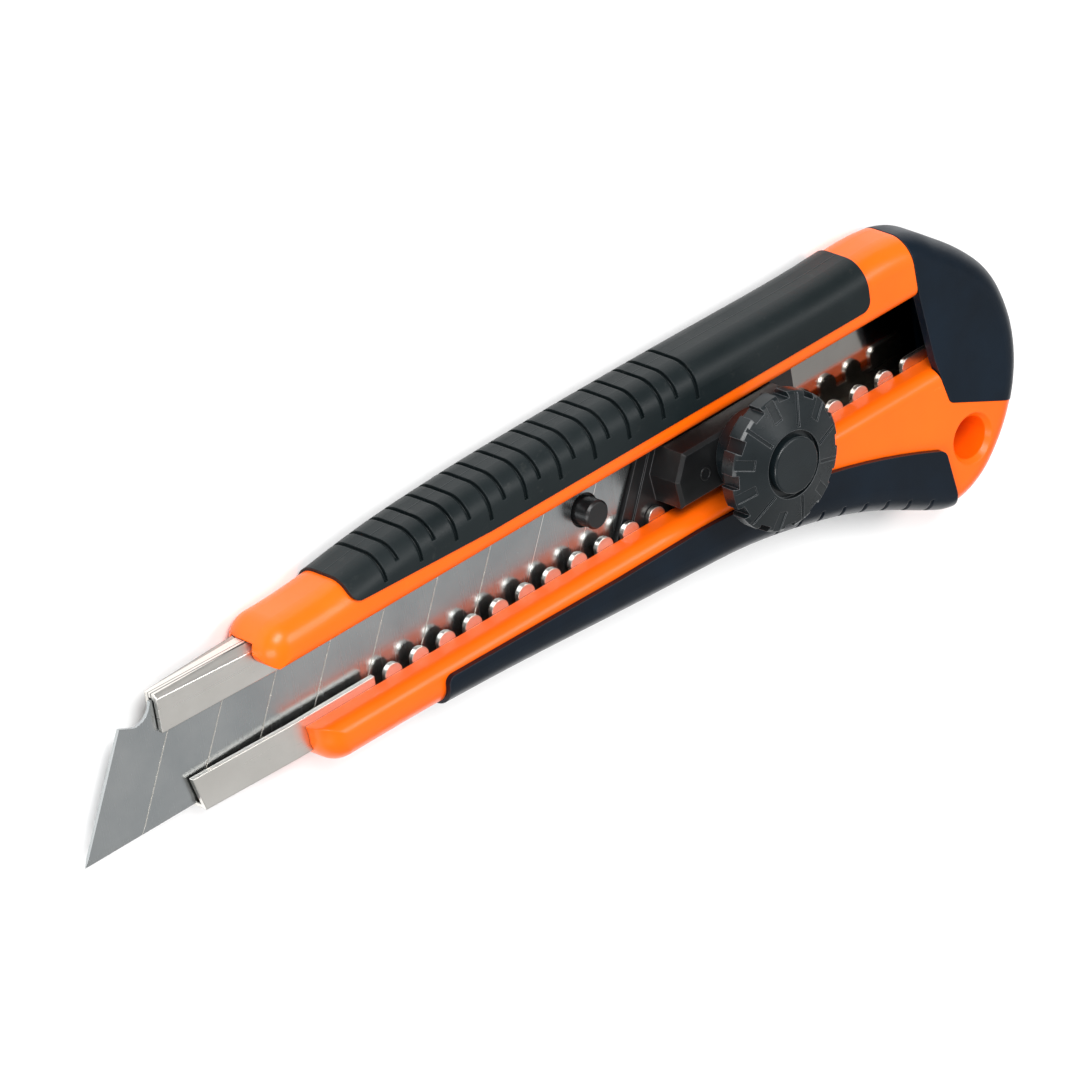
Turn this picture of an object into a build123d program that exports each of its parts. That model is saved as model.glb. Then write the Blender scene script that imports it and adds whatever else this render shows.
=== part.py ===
"""Snap-off utility knife with a lock wheel.

Frame: millimetres. The knife lies on its back, which is the plane Z = 0, and its front faces +Z.
The blade points to -X, its spine is on the +Y side and its cutting edge on the -Y side.
The origin is on the back of the handle, half way along the knife, on the blade's centre line.
"""
from build123d import *
import math
import os

os.makedirs("parts", exist_ok=True)

# Blade
TIP_X = -86.5            # point of the blade
BLADE_HALF = 9.0         # half the blade's width
BLADE_BACK = 4.5         # height of the blade's back face
BLADE_FRONT = 5.0        # height of the blade's front face
BLADE_BASE = 96.8        # length along the cutting edge
SEGMENT = 10.0           # distance between score lines
SLANT = 1 / math.tan(math.radians(60))
SCORE_COUNT = 7
SCORE_WIDTH = 0.2
SCORE_DEPTH = 0.08
PEG_X = 7.6              # axis of the peg and of the blade's tail hole
BLADE_HOLE_R = 2.5

# Channel of folded sheet
SHEET = 0.75
CHANNEL_HALF = 9.9       # outside half width
FLOOR_IN = 3.25          # inner face of the back wall
LIP_IN = 6.1             # under side of the lips
LIP_OUT = LIP_IN + SHEET
UPPER_LIP_EDGE = 4.2
STRIP_EDGE = -4.65
TOOTH_TOP = -4.4
TOOTH_ROOT = -6.9
TOOTH_R = 1.55
TOOTH_PITCH = 5.0
TOOTH_COUNT = 20
TOOTH_FIRST = -31.3      # centre of the first round tooth
STRIP_END = -34.75       # rear end of the plain strip in front of the teeth
WIDE_TOOTH = 67.15
WIDE_TOOTH_R = 1.4       # front end of the last, wide tooth
NOSE_START = -70.7       # front edge of the folded nose
STRIP_START = -67.4      # front end of the plain strip at its free edge
NOSE_BASE = -50.0        # where the nose reaches its full depth
CHANNEL_REAR = 73.5

# Handle
BODY_TOP = 11.0          # front face of the handle
BODY_EDGE_R = 3.8
RAIL = 6.0               # half the width between the rails
RAIL_EDGE_R = 1.9
FIT = 0.05               # gap where two fixed pieces meet
CAP_WALL = 1.8
CAP_GAP = 0.15
HOLE_X = 74.6            # lanyard hole
HOLE_Y = -19.1
HOLE_R = 3.15

# Lock
STUD_X = 32.2            # axis of the stud and of the wheel
STUD_R = 2.45
LOCK_LIFT = 0.7          # rise of the lock plate when the wheel is tight
BLOCK_TOP = 11.5
WHEEL_R = 10.05
RIM_LOW = 17.0
RIM_HIGH = 19.9
HUB_R = 4.1
HUB_TOP = 21.9
BOSS_LOW = 12.05
BOSS_R = 5.9
FINGER_NOTCHES = 12


# Stations round the handle's side view: x, y and the direction of travel in degrees.
STATIONS = [
    (-54.5, 8.3, 90), (-50.5, 12.3, 0), (-22.0, 14.8, 3), (-8.0, 15.35, 1),
    (38.0, 15.3, -1), (58.0, 15.4, 3), (64.5, 15.6, -2), (70.0, 14.8, -18),
    (76.9, 10.3, -38), (85.4, -0.2, -71), (86.8, -8.0, -90), (81.6, -22.4, -130),
    (76.0, -27.2, -153), (70.6, -28.5, 177), (64.5, -26.4, 154), (56.5, -22.6, 157),
    (45.5, -18.9, 166), (34.0, -16.5, 171), (18.0, -15.2, 177), (-24.0, -12.7, 178),
    (-43.2, -12.5, 180), (-47.5, -8.2, 90), (-48.5, -4.0, 112), (-52.5, 2.6, 122),
]


def smooth_arcs(stations):
    """Closed line of arcs, two between each station and the next, with no corners."""
    for here, there in zip(stations, stations[1:] + stations[:1]):
        start = Vector(here[0], here[1])
        end = Vector(there[0], there[1])
        leave = Vector(1, 0).rotate(Axis.Z, here[2])
        arrive = Vector(1, 0).rotate(Axis.Z, there[2])
        chord = end - start
        turn = 2 * (1 - leave.dot(arrive))
        along = chord.dot(leave + arrive)
        if turn < 1e-6:
            reach = chord.dot(chord) / (4 * chord.dot(arrive))
        else:
            reach = (math.sqrt(along**2 + turn * chord.dot(chord)) - along) / turn
        middle = (start + leave * reach + end - arrive * reach) * 0.5
        first = TangentArc(start, middle, tangent=leave)
        TangentArc(middle, end, tangent=first % 1)


def outline(grow=0.0):
    """Side view of the whole handle, grown outwards by the given amount."""
    with BuildSketch() as side:
        with BuildLine():
            smooth_arcs(STATIONS)
        make_face()
        if grow:
            offset(amount=grow, kind=Kind.ARC)
    return side.sketch


def slab(low, high, radius, grow=0.0):
    """The handle's outline between two heights, with rounded front and back edges."""
    side = outline(grow).moved(Location((0.0, 0.0, low)))
    with BuildPart() as piece:
        extrude(side, amount=high - low)
        rims = piece.faces().filter_by(Axis.Z).edges()
        fillet(rims, radius)
    return piece.part


def box(low, high):
    """A plain block between two corners."""
    with BuildPart() as piece:
        size = Vector(*high) - Vector(*low)
        with Locations(Vector(*low)):
            Box(size.X, size.Y, size.Z, align=(Align.MIN, Align.MIN, Align.MIN))
    return piece.part


def prism(points, low, high, radius=0.0):
    """A straight block with a side view given by its corners."""
    with BuildPart(Plane.XY.offset(low)) as piece:
        with BuildSketch(Plane.XY.offset(low)) as side:
            with BuildLine():
                Polyline(*points, close=True)
            make_face()
            if radius:
                fillet(side.vertices(), radius)
        extrude(amount=high - low)
    return piece.part


def rod(x, y, radius, low, high):
    """A round bar standing on the XY plane's normal."""
    with BuildPart() as piece:
        with Locations((x, y, low)):
            Cylinder(radius, high - low, align=(Align.CENTER, Align.CENTER, Align.MIN))
    return piece.part


# ---------------------------------------------------------------- grips, where they lie
UPPER_GRIP_AREA = [
    (-39.5, 24.0), (-39.5, 10.2), (-14.0, 9.15), (59.0, 9.0), (59.4, 24.0),
]
upper_area = prism(UPPER_GRIP_AREA, -1.0, 13.0, 1.6)

# The lower grip's top edge is straight along the belly and then bends down to the tail.
with BuildPart() as lower_block:
    with BuildSketch(Plane.XY.offset(-1.0)) as lower_side:
        with BuildLine():
            Polyline((-25.4, -34.0), (-26.2, -7.8), (6.0, -8.4), (22.0, -8.3))
            tail_bend = ThreePointArc((22.0, -8.3), (48.3, -11.5), (68.6, -18.0))
            Polyline(tail_bend @ 1, (70.8, -34.0), (-25.4, -34.0))
        make_face()
        fillet(lower_side.vertices().sort_by(Axis.X)[:2].sort_by(Axis.Y)[-1], 1.2)
        fillet(lower_side.vertices().group_by(Axis.X)[-2], 1.7)
    extrude(amount=14.0)
lower_area = lower_block.part

shell = slab(0, BODY_TOP, BODY_EDGE_R)
core = slab(1.6, BODY_TOP - 1.6, 2.2, -1.7)

# ---------------------------------------------------------------- end cap, where it lies
CAP_AREA = [
    (68.2, 24.0), (68.5, 6.0), (69.6, -4.4), (71.4, -11.9), (92.0, -20.9), (92.0, 24.0),
]
CAP_HOLLOW = [
    (60.0, 24.0), (60.0, -12.0), (72.6, -12.0 + CAP_WALL), (92.0, -20.9 + CAP_WALL), (92.0, 24.0),
]
cap_area = prism(CAP_AREA, -1.0, 13.0, 1.5)
room_low = CAP_WALL - 0.4
room_high = BODY_TOP - CAP_WALL + 0.4
hollow_shape = slab(room_low, room_high, 2.0, -CAP_WALL)
cap_hollow = prism(CAP_HOLLOW, -1.0, 13.0) & hollow_shape
tail_core = slab(room_low + CAP_GAP, room_high - CAP_GAP, 2.0, -CAP_WALL - CAP_GAP)
tail_reach = box((60.0, -8.0, -1.0), (CHANNEL_REAR, 24.0, 13.0))
spigot = prism(CAP_HOLLOW, -1.0, 13.0) & tail_core & tail_reach

# ---------------------------------------------------------------- handle body
# The rails' inner edges are rounded, so the slot between them is cut with a flared section.
with BuildPart() as slot_cut:
    with BuildSketch(Plane.YZ.offset(-60.0)) as mouth:
        with BuildLine():
            half = Polyline((0.0, LIP_OUT), (RAIL, LIP_OUT), (RAIL, BODY_TOP - RAIL_EDGE_R))
            flare = RadiusArc(half @ 1, (RAIL + RAIL_EDGE_R, BODY_TOP), RAIL_EDGE_R)
            Polyline(flare @ 1, (RAIL + RAIL_EDGE_R, 14.0), (0.0, 14.0), (0.0, LIP_OUT))
        make_face()
        mirror(about=Plane.YZ)
    extrude(amount=133.6)

# The upper rail's front corner is rounded off towards the slot.
with BuildPart() as chin_cut:
    with BuildSketch(Plane.XY.offset(LIP_OUT)) as chin:
        with BuildLine():
            edge = Line((-56.0, RAIL - 1.0), (-56.0, RAIL + 3.2))
            across = Line(edge @ 1, (-54.6, RAIL + 3.2))
            bend = RadiusArc(across @ 1, (-51.4, RAIL), -3.2)
            Polyline(bend @ 1, (-51.4, RAIL - 1.0), edge @ 0)
        make_face()
    extrude(amount=6.0)

channel_room = box(
    (-60.0, -CHANNEL_HALF - FIT, FLOOR_IN - SHEET - FIT),
    (CHANNEL_REAR + 2.0, CHANNEL_HALF + FIT, LIP_OUT + FIT),
)

with BuildPart() as handle_body:
    add(shell)
    add(upper_area & (shell - core), mode=Mode.SUBTRACT)
    add(lower_area & (shell - core), mode=Mode.SUBTRACT)
    add(cap_area, mode=Mode.SUBTRACT)
    add(spigot)
    add(slot_cut.part, mode=Mode.SUBTRACT)
    add(chin_cut.part, mode=Mode.SUBTRACT)
    add(channel_room, mode=Mode.SUBTRACT)
    with Locations((HOLE_X, HOLE_Y, 0.0)):
        Cylinder(HOLE_R, BODY_TOP, align=(Align.CENTER, Align.CENTER, Align.MIN), mode=Mode.SUBTRACT)
    hole_rims = handle_body.edges().filter_by(GeomType.CIRCLE).filter_by(
        lambda e: abs(e.radius - HOLE_R) < 0.01 and abs(e.arc_center.X - HOLE_X) < 0.01
    )
    chamfer(hole_rims, 0.7)
handle_body.part.label = "handle_body"
export_step(handle_body.part, "parts/handle_body.step")

# ---------------------------------------------------------------- end cap
with BuildPart() as end_cap:
    add(shell & cap_area)
    add(cap_hollow, mode=Mode.SUBTRACT)
    add(box((66.0, -26.0, -1.0), (68.2 + CAP_GAP, 24.0, 13.0)), mode=Mode.SUBTRACT)
end_cap_part = end_cap.part.moved(Location((CAP_GAP, 0.0, 0.0)))
end_cap_part.label = "end_cap"
export_step(end_cap_part, "parts/end_cap.step")

# ---------------------------------------------------------------- grips
GRIP_PROUD = 0.5         # the soft grip stands this far out of the handle
GROOVE_DEPTH = 0.55
GROOVE_WIDTH = 0.7
UPPER_GROOVE_FIRST = -33.9
UPPER_GROOVE_PITCH = 6.55
UPPER_GROOVE_SHORT = 2.85
LONG_END = 10.7
SHORT_END = 12.5

grip_top = BODY_TOP + GRIP_PROUD
grip_shell = slab(0, grip_top, 3.9, GRIP_PROUD)
grip_floor = slab(GROOVE_DEPTH, grip_top - GROOVE_DEPTH, 3.6, GRIP_PROUD - GROOVE_DEPTH)
with BuildPart() as upper_grip:
    add((grip_shell & upper_area) - core)
    ring = grip_shell - grip_floor
    for step in range(10):
        x = UPPER_GROOVE_FIRST + step * UPPER_GROOVE_PITCH
        add(ring & box((x, LONG_END, -1.0), (x + GROOVE_WIDTH, 20.0, 13.0)), mode=Mode.SUBTRACT)
        if step < 9:
            x = x + UPPER_GROOVE_SHORT
            add(ring & box((x, SHORT_END, -1.0), (x + GROOVE_WIDTH, 20.0, 13.0)), mode=Mode.SUBTRACT)
upper_grip.part.label = "upper_grip"
export_step(upper_grip.part, "parts/upper_grip.step")

BELLY_GROOVE_FIRST = 36.0
BELLY_GROOVE_PITCH = 4.1
belly_shell = slab(0, BODY_TOP + 0.9, 3.9, 0.1)
belly_floor = slab(0.35, BODY_TOP + 0.55, 3.7, -0.25)
with BuildPart() as lower_grip:
    add((belly_shell & lower_area) - core)
    belly_ring = belly_shell - belly_floor
    for step in range(8):
        x = BELLY_GROOVE_FIRST + step * BELLY_GROOVE_PITCH
        run = x - BELLY_GROOVE_FIRST
        level = -14.2 - 0.2 * run - 0.0052 * run**2
        add(belly_ring & box((x, -34.0, -1.0), (x + GROOVE_WIDTH, level, 13.0)), mode=Mode.SUBTRACT)
lower_grip.part.label = "lower_grip"
export_step(lower_grip.part, "parts/lower_grip.step")

# ---------------------------------------------------------------- blade channel
BEVEL = 1.3              # outer corner between the upper lip and the channel's side


def fold(x, floor_in, lip_in, bevel):
    """Section of the folded sheet across the knife, without its lower lip."""
    top = CHANNEL_HALF
    inner = CHANNEL_HALF - SHEET
    low = floor_in - SHEET
    high = lip_in + SHEET
    slope = bevel * 0.7
    with BuildSketch(Plane.YZ.offset(x)) as section:
        with BuildLine():
            Polyline(
                (UPPER_LIP_EDGE, high), (top - bevel, high), (top, high - bevel), (top, low),
                (-top, low), (-top, high), (-inner, high), (-inner, floor_in), (inner, floor_in),
                (inner, lip_in - slope), (inner - slope, lip_in), (UPPER_LIP_EDGE, lip_in), close=True,
            )
        make_face()
    return section.sketch


def strip_end(x, floor_in, lip_in):
    """Section of the plain lower lip ahead of the teeth."""
    with BuildSketch(Plane.YZ.offset(x)) as section:
        with BuildLine():
            Polyline(
                (STRIP_EDGE, lip_in), (STRIP_EDGE, lip_in + SHEET), (-CHANNEL_HALF, lip_in + SHEET),
                (-CHANNEL_HALF, lip_in), close=True,
            )
        make_face()
    return section.sketch


# The toothed lip is one flat strip; every tooth has a round top on straight sides.
with BuildPart() as toothed_lip:
    with BuildSketch(Plane.XY.offset(LIP_IN)) as lip:
        with BuildLine() as edge:
            Line((NOSE_BASE, -CHANNEL_HALF), (NOSE_BASE, STRIP_EDGE))
            Polyline((NOSE_BASE, STRIP_EDGE), (STRIP_END, STRIP_EDGE), (STRIP_END, TOOTH_ROOT))
            left = STRIP_END
            for step in range(TOOTH_COUNT):
                x = TOOTH_FIRST + step * TOOTH_PITCH
                Line((left, TOOTH_ROOT), (x - TOOTH_R, TOOTH_ROOT))
                Line((x - TOOTH_R, TOOTH_ROOT), (x - TOOTH_R, TOOTH_TOP - TOOTH_R))
                ThreePointArc(
                    (x - TOOTH_R, TOOTH_TOP - TOOTH_R), (x, TOOTH_TOP), (x + TOOTH_R, TOOTH_TOP - TOOTH_R),
                )
                Line((x + TOOTH_R, TOOTH_TOP - TOOTH_R), (x + TOOTH_R, TOOTH_ROOT))
                left = x + TOOTH_R
            Polyline(
                (left, TOOTH_ROOT), (WIDE_TOOTH, TOOTH_ROOT), (WIDE_TOOTH, TOOTH_TOP - WIDE_TOOTH_R),
            )
            RadiusArc(
                (WIDE_TOOTH, TOOTH_TOP - WIDE_TOOTH_R), (WIDE_TOOTH + WIDE_TOOTH_R, TOOTH_TOP), WIDE_TOOTH_R,
            )
            Polyline(
                (WIDE_TOOTH + WIDE_TOOTH_R, TOOTH_TOP), (CHANNEL_REAR, TOOTH_TOP),
                (CHANNEL_REAR, -CHANNEL_HALF), (NOSE_BASE, -CHANNEL_HALF),
            )
        make_face()
    extrude(amount=SHEET)

with BuildPart() as nose_fold:
    add(fold(NOSE_START, 4.3, 5.2, 0.6))
    add(fold(NOSE_BASE, FLOOR_IN, LIP_IN, BEVEL))
    loft(ruled=True)
with BuildPart() as nose_strip:
    add(strip_end(NOSE_START, 4.3, 5.2))
    add(strip_end(NOSE_BASE, FLOOR_IN, LIP_IN))
    loft(ruled=True)

# The strip below the blade starts further back than the fold above it, with a slanting end.
NOSE_UNDERCUT = [
    (-75.0, 0.0), (STRIP_START - 0.3, 0.0), (STRIP_START, STRIP_EDGE), (STRIP_START + 1.9, -12.0),
    (-75.0, -12.0),
]
undercut = prism(NOSE_UNDERCUT, 0.0, 9.0)
straight_fold = fold(NOSE_BASE, FLOOR_IN, LIP_IN, BEVEL)

with BuildPart() as blade_channel:
    extrude(straight_fold, amount=CHANNEL_REAR - NOSE_BASE, dir=(1, 0, 0))
    add(toothed_lip.part)
    add(nose_fold.part)
    add(nose_strip.part)
    add(undercut, mode=Mode.SUBTRACT)
blade_channel.part.label = "blade_channel"
export_step(blade_channel.part, "parts/blade_channel.step")

# ---------------------------------------------------------------- blade


def blade_point(x, y):
    """A place on the blade, measured from its tip along and across the cutting edge."""
    return (TIP_X + x, y - BLADE_HALF)


WIDTH = 2 * BLADE_HALF
with BuildPart() as blade:
    with BuildSketch(Plane.XY.offset(BLADE_BACK)) as side:
        with BuildLine():
            front = Line(blade_point(0.0, 0.0), blade_point(9.55, 16.55))
            ledge = Line(front @ 1, blade_point(11.4, 15.75))
            hook = ThreePointArc(ledge @ 1, blade_point(13.9, 15.9), blade_point(15.3, WIDTH))
            back = Line(hook @ 1, blade_point(BLADE_BASE + WIDTH * SLANT, WIDTH))
            rear = Line(back @ 1, blade_point(BLADE_BASE, 0.0))
            Line(rear @ 1, front @ 0)
        make_face()
        with Locations((PEG_X, 0.0)):
            Circle(BLADE_HOLE_R, mode=Mode.SUBTRACT)
    extrude(amount=BLADE_FRONT - BLADE_BACK)
    # The cutting edge is ground from both faces.
    grind = blade.edges().filter_by(Axis.X).sort_by(Axis.Y)[:2]
    chamfer(grind, 0.2, 1.1)
    # Score lines across the front face let the segments snap off.
    for number in range(1, SCORE_COUNT + 1):
        start = number * SEGMENT
        end = start + SCORE_WIDTH
        line = [
            blade_point(start, 0.0), blade_point(end, 0.0),
            blade_point(end + WIDTH * SLANT, WIDTH), blade_point(start + WIDTH * SLANT, WIDTH),
        ]
        add(prism(line, BLADE_FRONT - SCORE_DEPTH, BLADE_FRONT + 1.0), mode=Mode.SUBTRACT)
blade.part.label = "blade"
export_step(blade.part, "parts/blade.step")

# ---------------------------------------------------------------- slider
SLIDER_HALF = 9.0
SLIDER_LOW = 3.35
TONGUE_TOP = 4.45
PLATE_TOP = 6.0
TONGUE_FRONT = 1.5
PLATE_REAR = 47.5
BLOCK_HALF = 3.95
BLOCK_REAR = 42.5
PLATE_FRONT = TIP_X + BLADE_BASE + 0.3   # where the plate's slanting front meets the cutting edge's line
POCKET = (23.6, 40.8)                    # room for the lock plate along the slider
POCKET_TOP = 7.15
CORNER = 0.6                             # the plate's cut rear corners
STEP_WIDTH = 2.2
STEP_DEPTH = 0.3
PEG_R = 2.1
PEG_TOP = 7.8


def slant_x(y, shift=0.0):
    """Place along the knife of the plate's front edge, which is parallel to the blade's rear end."""
    return PLATE_FRONT + shift + (y + BLADE_HALF) * SLANT


tongue = prism(
    [
        (TONGUE_FRONT, -7.6), (TONGUE_FRONT, 7.6), (TONGUE_FRONT + 1.0, 8.6), (30.0, 8.6),
        (30.0, -8.6), (TONGUE_FRONT + 1.0, -8.6),
    ],
    SLIDER_LOW, TONGUE_TOP,
)
plate = prism(
    [
        (slant_x(-SLIDER_HALF), -SLIDER_HALF), (slant_x(SLIDER_HALF), SLIDER_HALF),
        (PLATE_REAR - CORNER, SLIDER_HALF), (PLATE_REAR, SLIDER_HALF - CORNER),
        (PLATE_REAR, -SLIDER_HALF + CORNER), (PLATE_REAR - CORNER, -SLIDER_HALF),
    ],
    SLIDER_LOW, PLATE_TOP,
)
plate_step = prism(
    [
        (slant_x(-SLIDER_HALF) - 1.0, -9.5), (slant_x(SLIDER_HALF) - 1.0, 9.5),
        (slant_x(SLIDER_HALF, STEP_WIDTH), 9.5), (slant_x(-SLIDER_HALF, STEP_WIDTH), -9.5),
    ],
    PLATE_TOP - STEP_DEPTH, PLATE_TOP + 1.0,
)
block = prism(
    [
        (21.3, BLOCK_HALF), (19.3, 0.3), (19.7, -BLOCK_HALF),
        (BLOCK_REAR, -BLOCK_HALF), (BLOCK_REAR, BLOCK_HALF),
    ],
    PLATE_TOP - 0.4, BLOCK_TOP,
)
pocket = box((POCKET[0], -10.0, SLIDER_LOW - 1.0), (POCKET[1], 10.0, POCKET_TOP))
with BuildPart() as slider:
    add(tongue)
    add(plate)
    # The front of the plate is a shallow step lower than the rest.
    add(plate_step, mode=Mode.SUBTRACT)
    add(block)
    # The pocket for the lock plate is open below and to both sides.
    add(pocket, mode=Mode.SUBTRACT)
    # The upper edge is bevelled to clear the channel's folded corner.
    with BuildSketch(Plane.YZ) as fold_side:
        with BuildLine():
            Polyline((SLIDER_HALF + 0.5, 4.5), (SLIDER_HALF + 0.5, 6.6), (SLIDER_HALF - 1.6, 6.6), close=True)
        make_face()
    extrude(amount=60.0, mode=Mode.SUBTRACT)
    top_rim = slider.faces().filter_by(Axis.Z).sort_by(Axis.Z)[-1].edges()
    chamfer(top_rim, 0.45)
    with Locations((STUD_X, 0.0, 5.0)):
        Cylinder(STUD_R + 0.15, 10.0, align=(Align.CENTER, Align.CENTER, Align.MIN), mode=Mode.SUBTRACT)
    with Locations((PEG_X, 0.0, SLIDER_LOW)):
        Cylinder(PEG_R, PEG_TOP - SLIDER_LOW, align=(Align.CENTER, Align.CENTER, Align.MIN))
    peg_rim = slider.edges().filter_by(GeomType.CIRCLE).sort_by(
        lambda e: abs(e.arc_center.X - PEG_X) + abs(e.arc_center.Z - PEG_TOP)
    )[0]
    chamfer(peg_rim, 0.3)
slider.part.label = "slider"
export_step(slider.part, "parts/slider.step")

# ---------------------------------------------------------------- lock plate
LOCK_TOP = LIP_IN - FIT - LOCK_LIFT
LOCK_THICK = 1.0
TAB_CENTRES = (26.2, 36.2)
TAB_WIDTH = 1.3
with BuildPart() as lock_plate:
    add(box((24.2, -8.8, LOCK_TOP - LOCK_THICK), (40.2, 8.0, LOCK_TOP)))
    fillet(lock_plate.edges().filter_by(Axis.Z), 1.0)
    for centre in TAB_CENTRES:
        tab = box((centre - TAB_WIDTH / 2, -6.6, LOCK_TOP), (centre + TAB_WIDTH / 2, -4.9, LOCK_TOP + 0.6))
        add(tab)
    with Locations((STUD_X, 0.0, LOCK_TOP - LOCK_THICK)):
        Cylinder(STUD_R + FIT, LOCK_THICK, align=(Align.CENTER, Align.CENTER, Align.MIN), mode=Mode.SUBTRACT)
lock_plate.part.label = "lock_plate"
export_step(lock_plate.part, "parts/lock_plate.step")

# ---------------------------------------------------------------- lock stud
FOOT_R = 3.6
FOOT_THICK = 0.75
STUD_TOP = 18.9
RING_LOW = 17.75
RING_HIGH = 18.35
RING_GROOVE_R = 1.95
stud_low = LOCK_TOP - LOCK_THICK
with BuildPart() as lock_stud:
    with Locations((STUD_X, 0.0, stud_low - FOOT_THICK)):
        Cylinder(FOOT_R, FOOT_THICK, align=(Align.CENTER, Align.CENTER, Align.MIN))
    with Locations((STUD_X, 0.0, stud_low)):
        Cylinder(STUD_R, STUD_TOP - stud_low, align=(Align.CENTER, Align.CENTER, Align.MIN))
    ring_groove = (
        rod(STUD_X, 0.0, STUD_R + 1.0, RING_LOW, RING_HIGH)
        - rod(STUD_X, 0.0, RING_GROOVE_R, RING_LOW, RING_HIGH)
    )
    add(ring_groove, mode=Mode.SUBTRACT)
    chamfer(lock_stud.faces().sort_by(Axis.Z)[-1].edges(), 0.35)
lock_stud.part.label = "lock_stud"
export_step(lock_stud.part, "parts/lock_stud.step")

# ---------------------------------------------------------------- stop ring, an open clip in the stud's groove
with BuildPart() as stop_ring:
    with BuildSketch(Plane.XY.offset(RING_LOW + 0.03)) as clip:
        with Locations((STUD_X, 0.0)):
            Circle(3.35)
            Circle(RING_GROOVE_R + 0.03, mode=Mode.SUBTRACT)
            Rectangle(8.0, 2.4, align=(Align.MIN, Align.CENTER), mode=Mode.SUBTRACT)
    extrude(amount=RING_HIGH - RING_LOW - 0.06)
stop_ring.part.label = "stop_ring"
export_step(stop_ring.part, "parts/stop_ring.step")

# ---------------------------------------------------------------- thrust washer
with BuildPart() as thrust_washer:
    with BuildSketch(Plane.XY.offset(BLOCK_TOP)) as washer:
        with Locations((STUD_X, 0.0)):
            Circle(3.4)
            Circle(STUD_R + 0.2, mode=Mode.SUBTRACT)
    extrude(amount=0.5)
thrust_washer.part.label = "thrust_washer"
export_step(thrust_washer.part, "parts/thrust_washer.step")

# ---------------------------------------------------------------- lock wheel
NUT_FLATS = 8.0          # across the nut's flats
NUT_LOW = 12.45
NUT_HIGH = 16.4
WEB_TOP = 17.6           # floor of the round room in the wheel's middle
CAVITY_R = 3.7
MOAT_R = 4.9
FACE_HIGH = 21.3         # inner edge of the sloping face
SHOULDER = 20.5          # the hub cap stands on this ledge
RIM_BREAK = 0.4
NOTCH_DEEP = 0.85
NOTCH_WIDE = 2.0
GROOVE_IN_FACE = 0.3
FIRST_NOTCH = -7.0       # degrees
LONG_SPOKES = (8, 68, 128, 218, 278, 338)
SHORT_SPOKES = (38, 98, 158, 188, 248, 308)
with BuildPart() as lock_wheel:
    with BuildSketch(Plane.XZ) as half_wheel:
        with BuildLine():
            Polyline(
                (STUD_R + 0.3, BOSS_LOW), (BOSS_R, BOSS_LOW), (BOSS_R, 15.6), (8.6, RIM_LOW),
                (WHEEL_R - RIM_BREAK, RIM_LOW), (WHEEL_R, RIM_LOW + RIM_BREAK),
                (WHEEL_R, RIM_HIGH - RIM_BREAK), (WHEEL_R - RIM_BREAK, RIM_HIGH),
                (MOAT_R, FACE_HIGH), (MOAT_R, SHOULDER), (CAVITY_R, SHOULDER),
                (CAVITY_R, WEB_TOP), (STUD_R + 0.3, WEB_TOP), close=True,
            )
        make_face()
    revolve(axis=Axis.Z)
    with BuildSketch(Plane.XY.offset(RIM_LOW - 1.0)) as notch_row:
        with PolarLocations(WHEEL_R, FINGER_NOTCHES, start_angle=FIRST_NOTCH):
            Rectangle(2 * NOTCH_DEEP, NOTCH_WIDE)
    extrude(amount=RIM_HIGH - RIM_LOW + 2.0, mode=Mode.SUBTRACT)
    with BuildSketch(Plane.XY.offset(NUT_LOW - 1.0)) as nut_seat:
        RegularPolygon(NUT_FLATS / 2 + FIT, 6, major_radius=False)
    extrude(amount=NUT_HIGH - NUT_LOW + 1.0 + FIT, mode=Mode.SUBTRACT)

# Narrow grooves run up the sloping face to the moat, and wide shallow ones stop half way.
with BuildPart() as face_skin:
    with BuildSketch(Plane.XZ) as skin_half:
        with BuildLine():
            Polyline(
                (WHEEL_R, RIM_HIGH - GROOVE_IN_FACE), (MOAT_R, FACE_HIGH - GROOVE_IN_FACE),
                (MOAT_R, FACE_HIGH + 1.0), (WHEEL_R, RIM_HIGH + 1.0), close=True,
            )
        make_face()
    revolve(axis=Axis.Z)
with BuildPart() as spokes:
    with BuildSketch(Plane.XY.offset(RIM_LOW)) as spoke_row:
        for angle in LONG_SPOKES:
            with PolarLocations(7.7, 1, start_angle=angle):
                Rectangle(4.9, 0.55)
        for angle in SHORT_SPOKES:
            with PolarLocations(8.5, 1, start_angle=angle):
                Rectangle(3.2, 1.5)
    extrude(amount=5.0)
wheel = lock_wheel.part - (face_skin.part & spokes.part)
wheel = wheel.moved(Location((STUD_X, 0.0, 0.0)))
wheel.label = "lock_wheel"
export_step(wheel, "parts/lock_wheel.step")

# ---------------------------------------------------------------- wheel nut, pressed into the wheel
with BuildPart() as wheel_nut:
    with BuildSketch(Plane.XY.offset(NUT_LOW)) as nut_sketch:
        with Locations((STUD_X, 0.0)):
            RegularPolygon(NUT_FLATS / 2, 6, major_radius=False)
            Circle(STUD_R + 0.07, mode=Mode.SUBTRACT)
    extrude(amount=NUT_HIGH - NUT_LOW)
wheel_nut.part.label = "wheel_nut"
export_step(wheel_nut.part, "parts/wheel_nut.step")

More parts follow.
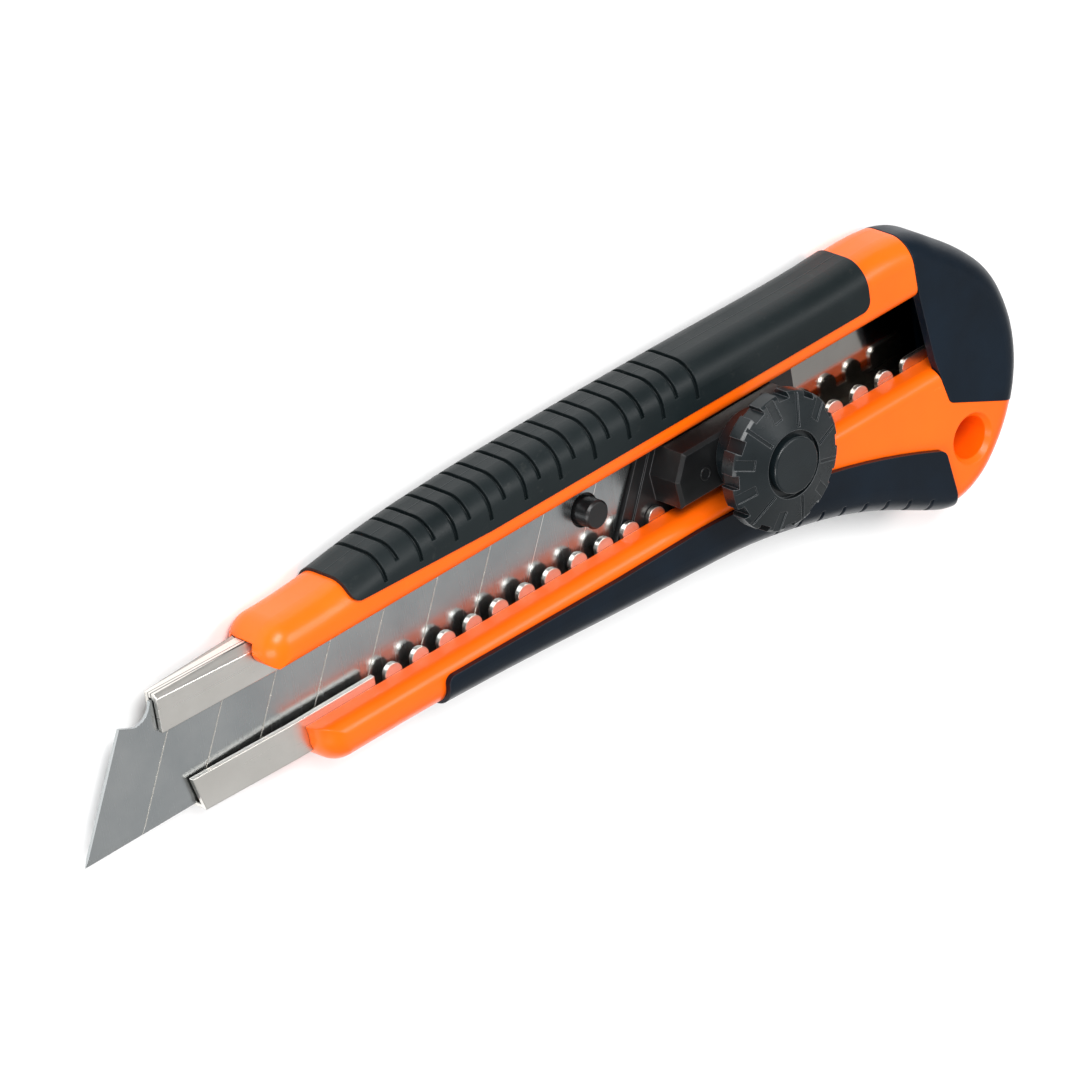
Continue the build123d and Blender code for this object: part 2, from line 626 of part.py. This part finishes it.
# ---------------------------------------------------------------- hub cap, pushed into the wheel's middle
HUB_SKIRT_LOW = 19.9
HUB_SKIRT_WALL = 0.75
with BuildPart() as hub_cap:
    with BuildSketch(Plane.XY.offset(SHOULDER)) as disc:
        with Locations((STUD_X, 0.0)):
            Circle(HUB_R)
    extrude(amount=HUB_TOP - SHOULDER)
    fillet(hub_cap.faces().sort_by(Axis.Z)[-1].edges(), 0.35)
    with BuildSketch(Plane.XY.offset(HUB_SKIRT_LOW)) as skirt:
        with Locations((STUD_X, 0.0)):
            Circle(CAVITY_R - 0.03)
            Circle(CAVITY_R - HUB_SKIRT_WALL, mode=Mode.SUBTRACT)
    extrude(amount=SHOULDER - HUB_SKIRT_LOW)
hub_cap.part.label = "hub_cap"
export_step(hub_cap.part, "parts/hub_cap.step")
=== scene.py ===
"""Looks of the snap-off utility knife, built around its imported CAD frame.

Metres. The knife lies on its back on the floor (Z = 0), blade towards -X, lock wheel facing +Z.
"""
import math
import bpy
from mathutils import Matrix, Vector


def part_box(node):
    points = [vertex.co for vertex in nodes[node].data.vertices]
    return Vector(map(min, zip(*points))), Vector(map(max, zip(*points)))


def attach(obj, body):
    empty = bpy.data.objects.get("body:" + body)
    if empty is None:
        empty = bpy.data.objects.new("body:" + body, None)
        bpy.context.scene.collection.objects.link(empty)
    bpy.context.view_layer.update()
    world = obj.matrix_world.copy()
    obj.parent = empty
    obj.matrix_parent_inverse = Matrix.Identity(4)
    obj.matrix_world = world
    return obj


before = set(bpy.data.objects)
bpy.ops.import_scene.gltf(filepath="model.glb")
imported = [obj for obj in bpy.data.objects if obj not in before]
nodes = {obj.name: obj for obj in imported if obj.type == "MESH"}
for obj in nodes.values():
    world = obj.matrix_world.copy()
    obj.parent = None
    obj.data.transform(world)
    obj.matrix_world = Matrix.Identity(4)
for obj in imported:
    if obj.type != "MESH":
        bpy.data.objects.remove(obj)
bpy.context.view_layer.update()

MM = 0.001
TIP_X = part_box("blade")[0].x       # point of the blade
BLADE_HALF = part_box("blade")[1].y  # half the blade's width
SEGMENT = 10 * MM                  # distance between score lines
SLANT = 0.57735                    # lean of the score lines, 1 / tan 60 degrees
CHANNEL_FLOOR = 3.25 * MM          # inner face of the channel's back wall
NOSE_BASE = -50 * MM               # the channel's nose starts to narrow here
NOSE_SLOPE = 0.045
LOW_CREASE = (5.12 * MM, 5.26 * MM)
HIGH_CREASE = (5.66 * MM, 5.86 * MM)
CREASE_SOFT = (0.05 * MM, 0.06 * MM)
FOLD_Y = (8.5 * MM, 9.2 * MM)      # the creases fade in over this width at the fold
PARTING = 5.7 * MM                 # mould line along the spine of the soft grip
PARTING_HALF = 0.06 * MM
PARTING_SOFT = 0.05 * MM
BLADE_GRAIN_TURN = -0.52           # radians, so the grinding lines cross the blade on the slant
FLOOR_DROP = 0.2 * MM              # the floor lies this far below the knife
FLOOR_SIDE = 4.0


# ---------------------------------------------------------------- node material helpers
class Build:
    """A small node-tree builder for one procedural material."""

    def __init__(self, name):
        self.material = bpy.data.materials.new(name)
        self.material.use_nodes = True
        self.tree = self.material.node_tree
        self.tree.nodes.clear()
        self.output = self.tree.nodes.new("ShaderNodeOutputMaterial")
        self.shader = self.tree.nodes.new("ShaderNodeBsdfPrincipled")
        self.link(self.shader.outputs[0], self.output.inputs["Surface"])
        self.coords = self.tree.nodes.new("ShaderNodeTexCoord").outputs["Object"]

    def link(self, source, target):
        self.tree.links.new(source, target)

    def put(self, socket, value):
        """Feeds a socket from another socket or sets it to a plain value."""
        if isinstance(value, bpy.types.NodeSocket):
            self.link(value, socket)
        else:
            socket.default_value = value

    def shader_values(self, **values):
        """Sets the shader's inputs by name, with _ in place of each space."""
        for key, value in values.items():
            self.put(self.shader.inputs[key.replace("_", " ")], value)

    def scaled(self, scale, turn=(0.0, 0.0, 0.0)):
        """Object coordinates scaled and turned, for grain with a direction."""
        node = self.tree.nodes.new("ShaderNodeMapping")
        node.inputs["Scale"].default_value = scale
        node.inputs["Rotation"].default_value = turn
        self.link(self.coords, node.inputs["Vector"])
        return node.outputs[0]

    def noise(self, scale, detail=3.0, rough=0.55, where=None):
        node = self.tree.nodes.new("ShaderNodeTexNoise")
        node.inputs["Scale"].default_value = scale
        node.inputs["Detail"].default_value = detail
        node.inputs["Roughness"].default_value = rough
        self.link(where or self.coords, node.inputs["Vector"])
        return node.outputs["Fac"]

    def ramp(self, factor, *stops):
        """Colour or grey ramp: stops are (position, colour or grey)."""
        node = self.tree.nodes.new("ShaderNodeValToRGB")
        while len(node.color_ramp.elements) < len(stops):
            node.color_ramp.elements.new(0.5)
        for element, (place, colour) in zip(node.color_ramp.elements, stops):
            element.position = place
            shade = colour if isinstance(colour, tuple) else (colour, colour, colour)
            element.color = (*shade, 1.0)
        self.link(factor, node.inputs[0])
        return node.outputs[0]

    def math(self, kind, first, second=0.0):
        node = self.tree.nodes.new("ShaderNodeMath")
        node.operation = kind
        self.put(node.inputs[0], first)
        self.put(node.inputs[1], second)
        return node.outputs[0]

    def mix(self, factor, first, second):
        """A blend of two colours: the first at 0, the second at 1."""
        node = self.tree.nodes.new("ShaderNodeMix")
        node.data_type = "RGBA"
        self.put(node.inputs[0], factor)
        for socket, value in ((node.inputs[6], first), (node.inputs[7], second)):
            self.put(socket, (*value, 1.0) if isinstance(value, tuple) else value)
        return node.outputs[2]

    def shiny(self, level):
        """Strength of the reflection at the surface."""
        self.shader.inputs["Specular IOR Level"].default_value = level

    def split(self):
        """The x, y and z of the object's coordinates."""
        node = self.tree.nodes.new("ShaderNodeSeparateXYZ")
        self.link(self.coords, node.inputs[0])
        return node.outputs

    def band(self, value, low, high, soft):
        """1 between low and high, 0 outside, with soft sides."""
        up = self.smooth(value, low - soft, low + soft)
        down = self.smooth(value, high - soft, high + soft)
        return self.math("SUBTRACT", up, down)

    def smooth(self, value, low, high):
        """0 below low, 1 above high, with a smooth step between."""
        node = self.tree.nodes.new("ShaderNodeMapRange")
        node.interpolation_type = "SMOOTHSTEP"
        self.put(node.inputs["Value"], value)
        node.inputs["From Min"].default_value = low
        node.inputs["From Max"].default_value = high
        return node.outputs[0]

    def rounded(self, radius):
        """Surface normal with the edges rounded to the given radius."""
        node = self.tree.nodes.new("ShaderNodeBevel")
        node.samples = 10
        node.inputs["Radius"].default_value = radius
        return node.outputs[0]

    def edge_highlight_mask(self, radius):
        """1 along the edges, where a highlight is painted; 0 on the faces."""
        face = self.tree.nodes.new("ShaderNodeNewGeometry").outputs["Normal"]
        node = self.tree.nodes.new("ShaderNodeVectorMath")
        node.operation = "DOT_PRODUCT"
        self.link(face, node.inputs[0])
        self.link(self.rounded(radius), node.inputs[1])
        return self.smooth(self.math("SUBTRACT", 1.0, node.outputs["Value"]), 0.02, 0.2)

    def bump(self, height, strength, distance, rounding):
        """Fine relief over the surface, with its edges rounded."""
        node = self.tree.nodes.new("ShaderNodeBump")
        node.inputs["Strength"].default_value = strength
        node.inputs["Distance"].default_value = distance
        self.link(height, node.inputs["Height"])
        self.link(self.rounded(rounding), node.inputs["Normal"])
        self.link(node.outputs[0], self.shader.inputs["Normal"])


def orange_plastic():
    """Glossy moulded plastic with faint clouding and rubbed marks."""
    b = Build("orange_gloss")
    cloud = b.noise(45.0, 4.0)
    speck = b.noise(900.0, 2.0)
    base = b.ramp(cloud, (0.3, (0.93, 0.112, 0.001)), (0.7, (0.99, 0.138, 0.002)))
    scuff = b.noise(260.0, 6.0, 0.7, b.scaled((1.0, 3.0, 3.0)))
    mark = b.ramp(scuff, (0.66, 0.0), (0.74, 1.0))
    b.shader_values(Base_Color=b.mix(b.math("MULTIPLY", mark, 0.25), base, (0.98, 0.26, 0.04)))
    b.shader_values(Roughness=b.ramp(scuff, (0.35, 0.28), (0.75, 0.40)))
    b.shader_values(Coat_Weight=0.06, Coat_Roughness=0.16)
    b.shiny(0.28)
    height = b.math("ADD", b.math("MULTIPLY", cloud, 0.4), b.math("MULTIPLY", speck, 0.12))
    b.bump(height, 0.12, 0.0004, 0.0003)
    return b.material


def soft_grip():
    """Matt rubber with a fine grain, dust and a mould line along the spine."""
    b = Build("grip_rubber")
    cloud = b.noise(90.0, 5.0, 0.6)
    grain = b.noise(2600.0, 3.0, 0.7)
    dust = b.ramp(b.noise(420.0, 6.0, 0.75), (0.60, 0.0), (0.72, 1.0))
    base = b.ramp(cloud, (0.3, (0.0042, 0.0078, 0.0088)), (0.7, (0.0080, 0.0125, 0.0138)))
    b.shader_values(Base_Color=b.mix(b.math("MULTIPLY", dust, 0.10), base, (0.12, 0.12, 0.11)))
    b.shader_values(Roughness=b.ramp(cloud, (0.3, 0.36), (0.7, 0.48)))
    b.shiny(0.20)
    _, y, z = b.split()
    line = b.band(z, PARTING - PARTING_HALF, PARTING + PARTING_HALF, PARTING_SOFT)
    parting = b.math("MULTIPLY", line, b.smooth(y, 0.0, 1 * MM))
    height = b.math("ADD", b.math("MULTIPLY", grain, 0.3), b.math("MULTIPLY", cloud, 0.5))
    height = b.math("ADD", height, b.math("MULTIPLY", parting, 1.2))
    b.bump(height, 0.25, 0.0002, 0.00018)
    return b.material


def satin_black(name, tone, rough, coat, grain_depth=0.14, rounding=0.0002, gloss=0.16, edge_highlight_strength=0.15):
    """Satin moulded plastic, with a painted highlight that lightens its edges."""
    b = Build(name)
    cloud = b.noise(120.0, 4.0)
    grain = b.noise(3200.0, 3.0, 0.65)
    scuff = b.noise(300.0, 8.0, 0.8, b.scaled((1.0, 2.2, 2.2)))
    low = tuple(c * 0.75 for c in tone)
    high = tuple(c * 1.3 for c in tone)
    base = b.ramp(cloud, (0.3, low), (0.7, high))
    mark = b.ramp(scuff, (0.68, 0.0), (0.78, 1.0))
    base = b.mix(b.math("MULTIPLY", mark, 0.12), base, (0.15, 0.15, 0.15))
    # Painted highlight: the base colour is lightened along the edges, more strongly on the slider
    # and the wheel.
    painted_edge_highlight = b.math("MULTIPLY", b.edge_highlight_mask(rounding), edge_highlight_strength)
    b.shader_values(Base_Color=b.mix(painted_edge_highlight, base, (0.20, 0.21, 0.22)))
    b.shader_values(Roughness=b.ramp(scuff, (0.3, rough), (0.75, rough + 0.14)))
    b.shader_values(Coat_Weight=coat, Coat_Roughness=0.15)
    b.shiny(gloss)
    height = b.math("ADD", b.math("MULTIPLY", grain, 0.4), b.math("MULTIPLY", cloud, 0.3))
    b.bump(height, grain_depth, 0.0002, rounding)
    return b.material


def sheet_steel():
    """Bright rolled sheet: satin outside, smoother on the channel's floor, with painted shade
    darkening that floor.
    """
    b = Build("sheet_steel")
    grain = b.noise(1500.0, 4.0, 0.6, b.scaled((0.04, 1.0, 1.0)))
    x, y, z = b.split()
    above_floor = b.smooth(z, CHANNEL_FLOOR + 0.2 * MM, CHANNEL_FLOOR + 0.4 * MM)
    shaded_inner_floor = b.math("SUBTRACT", 1.0, above_floor)
    cloud = b.noise(70.0, 5.0, 0.6)
    stain = b.ramp(b.noise(200.0, 6.0, 0.7), (0.58, 0.0), (0.72, 1.0))
    base = b.ramp(cloud, (0.3, (0.64, 0.62, 0.58)), (0.7, (0.76, 0.74, 0.70)))
    tint = b.mix(b.math("MULTIPLY", stain, 0.2), base, (0.42, 0.39, 0.34))
    # Two crease lines where the nose is pinched together over the blade, drawn dark as painted shade
    # in the creases.
    rise = b.math("MULTIPLY", b.math("SUBTRACT", NOSE_BASE, x), NOSE_SLOPE)
    crease = b.math("ADD", z, rise)
    low_line = b.band(crease, *LOW_CREASE, CREASE_SOFT[0])
    high_line = b.band(crease, *HIGH_CREASE, CREASE_SOFT[1])
    on_nose = b.math("SUBTRACT", 1.0, b.smooth(x, NOSE_BASE, NOSE_BASE + 2 * MM))
    pinched = b.math("MULTIPLY", on_nose, b.smooth(y, *FOLD_Y))
    crease_shade = b.math("MULTIPLY", b.math("MAXIMUM", low_line, high_line), pinched)
    # Painted shade: the channel's inner floor is darkened to near black.
    tint = b.mix(b.math("MULTIPLY", shaded_inner_floor, 0.6), tint, (0.06, 0.05, 0.045))
    b.shader_values(Base_Color=b.mix(b.math("MULTIPLY", crease_shade, 0.9), tint, (0.05, 0.05, 0.05)))
    satin = b.ramp(grain, (0.3, 0.26), (0.7, 0.36))
    b.shader_values(Metallic=1.0, Roughness=b.mix(shaded_inner_floor, satin, (0.10, 0.10, 0.10)))
    height = b.math("ADD", b.math("MULTIPLY", grain, 0.2), b.math("MULTIPLY", cloud, 0.4))
    b.bump(height, 0.06, 0.0002, 0.00022)
    return b.material


def blade_steel():
    """Ground blade steel with slanting grinding lines, stains, and score lines drawn as painted
    highlight and shade.
    """
    b = Build("blade_steel")
    fine = b.noise(2600.0, 4.0, 0.65, b.scaled((1.0, 0.035, 1.0), (0.0, 0.0, BLADE_GRAIN_TURN)))
    cloud = b.noise(60.0, 5.0, 0.6)
    base = b.ramp(cloud, (0.3, (0.33, 0.355, 0.365)), (0.7, (0.45, 0.465, 0.465)))
    spots = b.ramp(b.noise(240.0, 8.0, 0.8), (0.62, 0.0), (0.70, 1.0))
    x, y, _ = b.split()
    near_lip = b.band(y, -9.5 * MM, -5.5 * MM, 2 * MM)
    stain = b.math("MULTIPLY", spots, near_lip)
    tint = b.mix(b.math("MULTIPLY", stain, 0.7), base, (0.15, 0.10, 0.06))
    # The pressed score lines are drawn as a painted highlight beside a painted shade. They lie 10 mm
    # apart and lean 60 degrees.
    along = b.math("SUBTRACT", x, b.math("MULTIPLY", b.math("ADD", y, BLADE_HALF), SLANT))
    step = b.math("FRACT", b.math("DIVIDE", b.math("SUBTRACT", along, TIP_X - SEGMENT), SEGMENT))
    score_shade = b.band(step, -1.0, 0.006, 0.006)
    score_highlight = b.band(step, 0.012, 0.024, 0.004)
    scored = b.smooth(along, TIP_X + 0.5 * SEGMENT, TIP_X + 0.51 * SEGMENT)
    shaded = b.math("MULTIPLY", score_shade, b.math("MULTIPLY", scored, 0.6))
    tint = b.mix(shaded, tint, (0.10, 0.10, 0.10))
    tint = b.mix(b.math("MULTIPLY", score_highlight, scored), tint, (0.95, 0.93, 0.88))
    b.shader_values(Base_Color=tint)
    rough = b.ramp(fine, (0.25, 0.20), (0.75, 0.30))
    b.shader_values(Metallic=1.0, Roughness=rough)
    b.bump(fine, 0.03, 0.0001, 0.00005)
    return b.material


def turned_steel():
    """Plain grey steel of the lock's inner pieces."""
    b = Build("turned_steel")
    cloud = b.noise(300.0, 4.0)
    ring = b.noise(2400.0, 3.0, 0.6, b.scaled((1.0, 1.0, 6.0)))
    b.shader_values(Base_Color=b.ramp(cloud, (0.3, (0.42, 0.42, 0.42)), (0.7, (0.56, 0.56, 0.55))))
    b.shader_values(Metallic=1.0, Roughness=b.ramp(ring, (0.3, 0.25), (0.7, 0.42)))
    b.bump(ring, 0.08, 0.0001, 0.0001)
    return b.material


def nut_brass():
    """Dull brass of the nut in the wheel."""
    b = Build("nut_brass")
    cloud = b.noise(300.0, 4.0)
    b.shader_values(Base_Color=b.ramp(cloud, (0.3, (0.50, 0.33, 0.10)), (0.7, (0.66, 0.47, 0.18))))
    b.shader_values(Metallic=1.0, Roughness=b.ramp(cloud, (0.3, 0.25), (0.7, 0.45)))
    b.bump(cloud, 0.08, 0.0001, 0.0001)
    return b.material


def give(node, material):
    """Puts one material on a CAD piece."""
    obj = nodes[node]
    obj.data.materials.clear()
    obj.data.materials.append(material)


hard_black = satin_black("hard_black", (0.0016, 0.0054, 0.0110), 0.28, 0.03)
cap_black = satin_black("cap_black", (0.0016, 0.0062, 0.0128), 0.32, 0.02)
slider_black = satin_black(
    "slider_black", (0.0080, 0.0085, 0.0090), 0.28, 0.1,
    grain_depth=0.08, gloss=0.3, edge_highlight_strength=0.4,
)
wheel_black = satin_black(
    "wheel_black", (0.0050, 0.0082, 0.0098), 0.24, 0.1,
    grain_depth=0.03, rounding=0.00015, gloss=0.32, edge_highlight_strength=0.6,
)
turned = turned_steel()

give("handle_body", orange_plastic())
give("upper_grip", soft_grip())
give("lower_grip", hard_black)
give("end_cap", cap_black)
give("blade_channel", sheet_steel())
give("blade", blade_steel())
give("slider", slider_black)
give("lock_wheel", wheel_black)
give("hub_cap", wheel_black)
give("wheel_nut", nut_brass())
for inner in ("lock_plate", "lock_stud", "stop_ring", "thrust_washer"):
    give(inner, turned)


# ---------------------------------------------------------------- moulded ring on the slider's block
def lathe(name, profile, centre, count=48):
    """A closed ring turned about an upright axis; profile is a list of (radius, height)."""
    vertices = []
    faces = []
    rows = len(profile)
    for index in range(count):
        angle = 2 * math.pi * index / count
        for radius, height in profile:
            x = centre[0] + radius * math.cos(angle)
            y = centre[1] + radius * math.sin(angle)
            vertices.append((x, y, height))
    for index in range(count):
        here = index * rows
        there = (index + 1) % count * rows
        for row in range(rows):
            below = (row + 1) % rows
            faces.append((here + row, there + row, there + below, here + below))
    mesh = bpy.data.meshes.new(name)
    mesh.from_pydata(vertices, [], faces)
    mesh.update()
    obj = bpy.data.objects.new(name, mesh)
    bpy.context.scene.collection.objects.link(obj)
    for polygon in mesh.polygons:
        polygon.use_smooth = True
    return obj


BLOCK_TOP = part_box("slider")[1].z
RING_CENTRE = (24.6 * MM, -0.6 * MM)
ring_profile = [
    (1.05 * MM, BLOCK_TOP - 0.05 * MM), (0.98 * MM, BLOCK_TOP + 0.10 * MM),
    (0.86 * MM, BLOCK_TOP + 0.14 * MM), (0.74 * MM, BLOCK_TOP + 0.10 * MM),
    (0.67 * MM, BLOCK_TOP - 0.05 * MM),
]
mould_ring = lathe("mould_ring", ring_profile, RING_CENTRE)
mould_ring.data.materials.append(slider_black)
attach(mould_ring, "slider")


# ---------------------------------------------------------------- floor
def pale_floor():
    """Matt white board, a little uneven in tone."""
    b = Build("pale_floor")
    cloud = b.noise(3.0, 2.0)
    b.shader_values(Base_Color=b.ramp(cloud, (0.3, 0.975), (0.7, 0.99)), Roughness=0.9)
    b.shiny(0.1)
    return b.material


floor_mesh = bpy.data.meshes.new("floor")
corners = [
    (-FLOOR_SIDE, -FLOOR_SIDE, 0), (FLOOR_SIDE, -FLOOR_SIDE, 0),
    (FLOOR_SIDE, FLOOR_SIDE, 0), (-FLOOR_SIDE, FLOOR_SIDE, 0),
]
floor_mesh.from_pydata(corners, [], [(0, 1, 2, 3)])
floor = bpy.data.objects.new("floor", floor_mesh)
floor.location.z = -FLOOR_DROP
floor_mesh.materials.append(pale_floor())
bpy.context.scene.collection.objects.link(floor)


# ---------------------------------------------------------------- light
world = bpy.data.worlds.new("studio")
bpy.context.scene.world = world
world.use_nodes = True
background = world.node_tree.nodes["Background"]
background.inputs["Color"].default_value = (1.0, 1.0, 1.0, 1.0)
background.inputs["Strength"].default_value = 0.35


def area_light(name, place, size, power):
    """A white soft box aimed at the middle of the knife."""
    data = bpy.data.lights.new(name, "AREA")
    data.shape = "RECTANGLE"
    data.size = size[0]
    data.size_y = size[1]
    data.energy = power
    obj = bpy.data.objects.new(name, data)
    obj.location = place
    aim = -Vector(place)
    obj.rotation_euler = aim.to_track_quat("-Z", "Y").to_euler()
    bpy.context.scene.collection.objects.link(obj)


area_light("key_light", (-0.25, 0.62, 0.62), (0.55, 0.35), 8.5)
area_light("side_light", (-0.75, -0.15, 0.45), (0.3, 0.5), 4.0)
area_light("top_light", (0.45, 0.25, 0.85), (0.4, 0.4), 3.5)
area_light("soft_card", (0.52, -0.52, 0.72), (0.95, 0.95), 1.0)

# ---------------------------------------------------------------- camera
camera_data = bpy.data.cameras.new("camera")
camera_data.sensor_width = 36.0
camera_data.lens = 360.73
camera_data.clip_start = 0.05
camera_data.clip_end = 20.0
camera = bpy.data.objects.new("camera", camera_data)
RIGHT = Vector((0.7141, -0.1460, 0.6846))
UP = Vector((0.4221, 0.8700, -0.2548))
BACK = Vector((-0.5584, 0.4709, 0.6829))
EYE = Vector((-0.82338, 0.69302, 1.01079))
facing = Matrix((RIGHT, UP, BACK)).transposed()
camera.matrix_world = Matrix.Translation(EYE) @ facing.to_4x4()
bpy.context.scene.collection.objects.link(camera)
bpy.context.scene.camera = camera
bpy.context.scene.view_settings.view_transform = "Standard"
